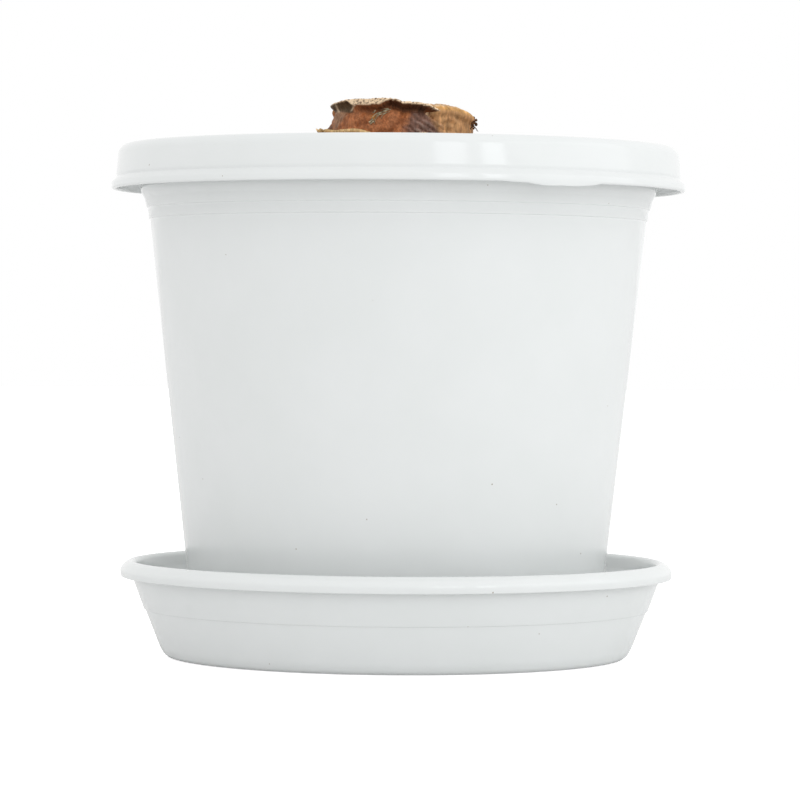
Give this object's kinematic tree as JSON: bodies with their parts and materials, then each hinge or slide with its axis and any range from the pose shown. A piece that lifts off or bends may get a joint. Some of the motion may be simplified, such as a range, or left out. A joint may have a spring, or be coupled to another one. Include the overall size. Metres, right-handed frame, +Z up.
{
  "type": "potted amaryllis bulb",
  "caption": "Dormant amaryllis bulb with its cut neck above the rim of a white plastic flower pot, filled with potting mix, in a matching white saucer.",
  "frame": {"origin": "centre of the saucer's foot, on the surface it stands on", "axes": "+Z up along the pot's axis; the broad side of the bulb's neck faces -Y, the side the picture shows"},
  "size_m": [0.17, 0.17, 0.165],
  "materials": {
    "white_plastic": "satin",
    "potting_mix": "matte",
    "bulb_skin": "matte"
  },
  "bodies": {
    "root": {"saucer": "white_plastic", "pot": "white_plastic", "potting_mix": "potting_mix", "bulb": "bulb_skin"}
  },
  "joints": []
}
